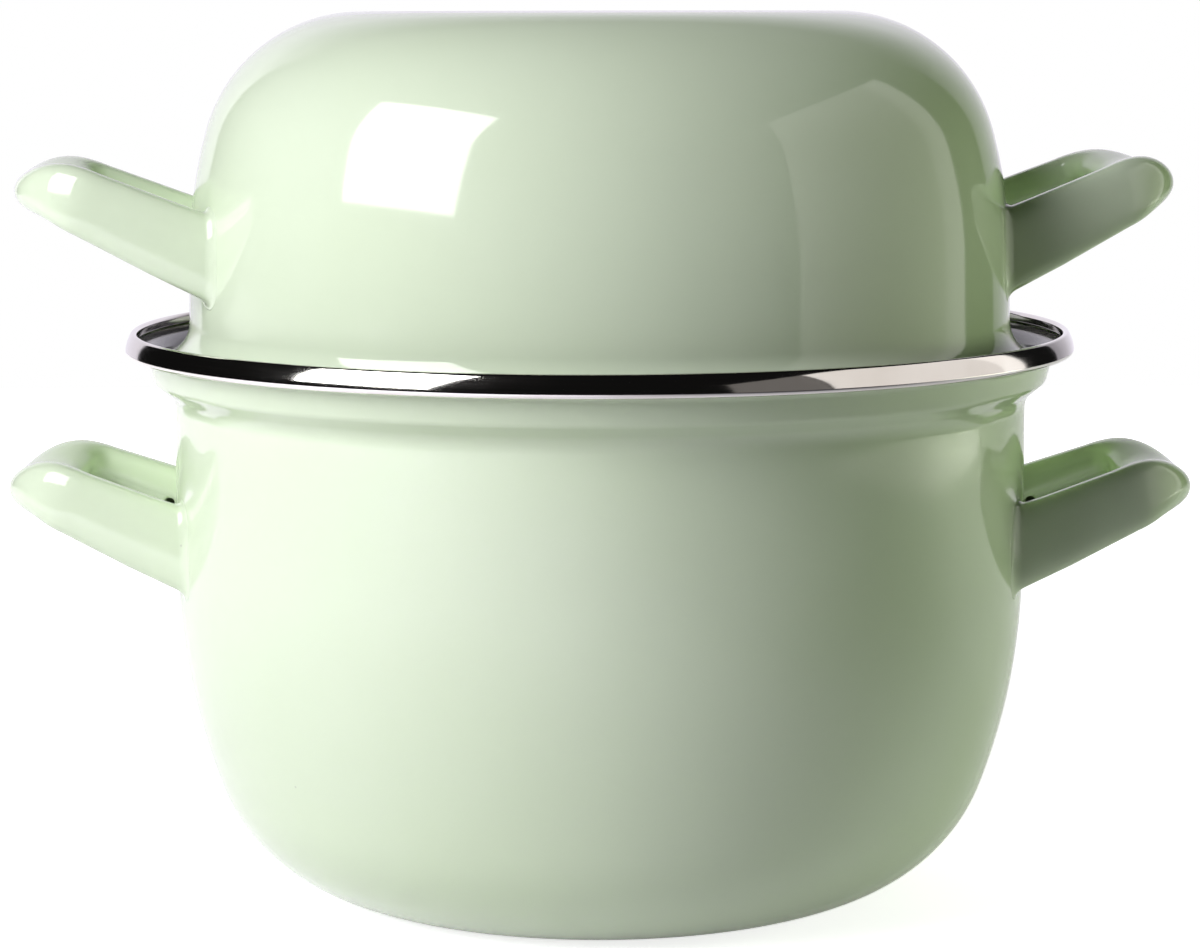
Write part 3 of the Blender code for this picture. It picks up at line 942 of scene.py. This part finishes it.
def fill_floor(material):
    """Paper that takes shadows and has a painted shade at the front right, with one glow for the camera
    and another for mirrors, which also holds painted shade.
    """
    tree = material.node_tree
    place = node_of(tree, "TexCoord").outputs["Object"]
    parts = node_of(tree, "SeparateXYZ")
    join(tree, place, parts.inputs[0])
    east, north = parts.outputs[0], parts.outputs[1]
    length = node_of(tree, "VectorMath", operation="LENGTH")
    join(tree, place, length.inputs[0])
    from_axis = length.outputs["Value"]

    # shade marks the front right corner, where painted shade darkens the paper's colour and what mirrors
    # see; the camera's glow rises there so the floor still reads white.
    shade = reckon(tree, "MULTIPLY", spread(tree, east, -0.1, 0.3), spread(tree, north, 0.1, -0.25))
    to_camera = reckon(tree, "MAXIMUM", spread(tree, from_axis, 0.35, 0.9, FLOOR_GLOW, 1.0),
                       spread(tree, shade, 0.0, 0.6, FLOOR_GLOW, 1.0))
    # What mirrors see holds painted shade: it fades towards the right, in the shaded corner and near the
    # pot, where the pot's shadow would lie.
    to_mirror = reckon(tree, "MULTIPLY", spread(tree, east, -0.5, 0.5, 0.75, 0.2),
                       spread(tree, east, 0.65, 0.9, 1.0, 0.08))
    to_mirror = reckon(tree, "MULTIPLY", to_mirror, spread(tree, shade, 0.0, 1.0, 1.0, 0.08))
    to_mirror = reckon(tree, "MULTIPLY", to_mirror, spread(tree, from_axis, 0.1, 0.3, 0.7, 1.0))

    path = node_of(tree, "LightPath")
    mirrored_ray = reckon(tree, "MAXIMUM", path.outputs["Is Glossy Ray"],
                          path.outputs["Is Transmission Ray"])
    seen = reckon(tree, "MAXIMUM", reckon(tree, "MULTIPLY", path.outputs["Is Camera Ray"], to_camera),
                  reckon(tree, "MULTIPLY", mirrored_ray, to_mirror))
    glow = node_of(tree, "Emission")
    join(tree, seen, glow.inputs["Strength"])
    paper = node_of(tree, "BsdfDiffuse")
    # The paper's colour is painted dark in the shaded corner: painted shade.
    join(tree, blend_colours(tree, shade, (0.90, 0.90, 0.90, 1.0), (0.1, 0.1, 0.1, 1.0)),
         paper.inputs["Color"])
    both = node_of(tree, "AddShader")
    join(tree, glow.outputs[0], both.inputs[0])
    join(tree, paper.outputs[0], both.inputs[1])
    join(tree, both.outputs[0], node_of(tree, "OutputMaterial").inputs["Surface"])


floor = stage_sheet("Floor", [(-2600, -1400, 0), (2600, -1400, 0), (2600, 1200, 0), (-2600, 1200, 0)])
floor_paint = empty_material("White floor")
fill_floor(floor_paint)
floor.data.materials.append(floor_paint)
print("floor glow", FLOOR_GLOW)

# %% [markdown]
# ### Wall
# The wall behind lights the pot's back and shows in mirrors, where the photograph has it lilac. The
# camera doesn't see it, so it never stands in the way of a view from behind.

# %% Wall
LILAC = (0.94, 0.90, 1.0, 1.0)


def fill_wall(material):
    """A plain glow for all rays but the mirrored ones, which see it fade to the right and upwards."""
    tree = material.node_tree
    parts = node_of(tree, "SeparateXYZ")
    join(tree, node_of(tree, "TexCoord").outputs["Object"], parts.inputs[0])
    to_mirror = reckon(tree, "MULTIPLY", spread(tree, parts.outputs[0], 0.4, 1.0, 1.0, 0.4),
                       spread(tree, parts.outputs[2], 0.7, 1.3, 1.0, 0.1))
    mirrored_ray = node_of(tree, "LightPath").outputs["Is Glossy Ray"]
    seen = node_of(tree, "Mix", data_type="FLOAT")
    join(tree, mirrored_ray, seen.inputs[0])
    seen.inputs[2].default_value = 1.0
    join(tree, to_mirror, seen.inputs[3])
    glow = node_of(tree, "Emission")
    join(tree, seen.outputs[0], glow.inputs["Strength"])
    join(tree, blend_colours(tree, mirrored_ray, (1.0, 1.0, 1.0, 1.0), LILAC), glow.inputs["Color"])
    join(tree, glow.outputs[0], node_of(tree, "OutputMaterial").inputs["Surface"])


wall = stage_sheet("Back_wall", [(-955, 1200, 0), (1100, 1200, 0), (1100, 1200, 2000), (-955, 1200, 2000)])
wall_light = empty_material("White wall")
fill_wall(wall_light)
wall.data.materials.append(wall_light)
wall.visible_camera = False
print("wall seen by the camera:", wall.visible_camera)

# %% [markdown]
# ### Lamps
# One set of lamps rarely gives both the pictures in the gloss and the shading of a photograph, so
# they are parted. Four are seen in mirrors only: the softbox, the board, its farther edge and a dim
# screen beside it. Three only light: the main one is narrow and stands 47 degrees to the left, where
# the pot keeps it off the fronts of the right handles.

# %% Lamps
def area_light(name, centre, aim_at, width, height, radiance, colour=(1.0, 1.0, 1.0)):
    """A soft lamp of this brightness per area, facing the point that it aims at."""
    data = bpy.data.lights.new(name, "AREA")
    data.shape = "RECTANGLE"
    data.size, data.size_y = width * MM, height * MM
    data.energy = radiance * math.pi * data.size * data.size_y
    data.color = colour
    lamp = bpy.data.objects.new(name, data)
    scene.collection.objects.link(lamp)
    direction = Vector(aim_at) - Vector(centre)
    turn = direction.to_track_quat("-Z", "Y").to_matrix().to_4x4()
    lamp.matrix_world = Matrix.Translation(Vector(centre) * MM) @ turn
    lamp.visible_camera = False
    print(name, "has", round(data.energy, 2), "W")
    return lamp


def mirrored_only(lamp):
    lamp.visible_diffuse = False


def light_only(lamp):
    lamp.visible_glossy = False


mirrored_only(area_light("Softbox", (-665, -461, 601), (0, 0, 180), 570, 555, 9.0))
mirrored_only(area_light("Right_board", (900, -135, 400), (0, -135, 400), 1090, 1180, 1.0,
                         (1.0, 0.95, 0.92)))
mirrored_only(area_light("Board_edge", (898, 330, 400), (0, 330, 400), 200, 1180, 0.3))
mirrored_only(area_light("Right_screen", (900, -1130, 400), (0, -1130, 400), 860, 1180, 0.17,
                         (1.0, 0.94, 0.9)))
light_only(area_light("Left_light", (-776, -724, 700), (0, 0, 120), 400, 800, 18.4, (0.875, 0.81, 1.0)))
light_only(area_light("Side_light", (-1155, 100, 430), (0, 0, 120), 500, 500, 2.0, (0.90, 0.85, 1.0)))
light_only(area_light("Right_light", (1150, 220, 150), (0, 0, 120), 500, 500, 8.2, (0.91, 1.0, 0.76)))

# %% [markdown]
# ### The room
# The world is white where the camera looks past the floor, and nearly black for everything else, as
# the dark stretches of the steel rim show.

# %% World
ROOM_LIGHT = 0.006     # what everything but the camera sees of the room

world = scene.world or bpy.data.worlds.new("World")
scene.world = world
world.use_nodes = True
world_tree = world.node_tree
world_tree.nodes.clear()
path = node_of(world_tree, "LightPath")
room = node_of(world_tree, "Background")
room.inputs["Color"].default_value = (1.0, 1.0, 1.0, 1.0)
join(world_tree, spread(world_tree, path.outputs["Is Camera Ray"], 0.0, 1.0, ROOM_LIGHT, 1.0),
     room.inputs["Strength"])
join(world_tree, room.outputs[0], node_of(world_tree, "OutputWorld").inputs["Surface"])
scene.view_settings.view_transform = "Standard"
print("room light", ROOM_LIGHT)
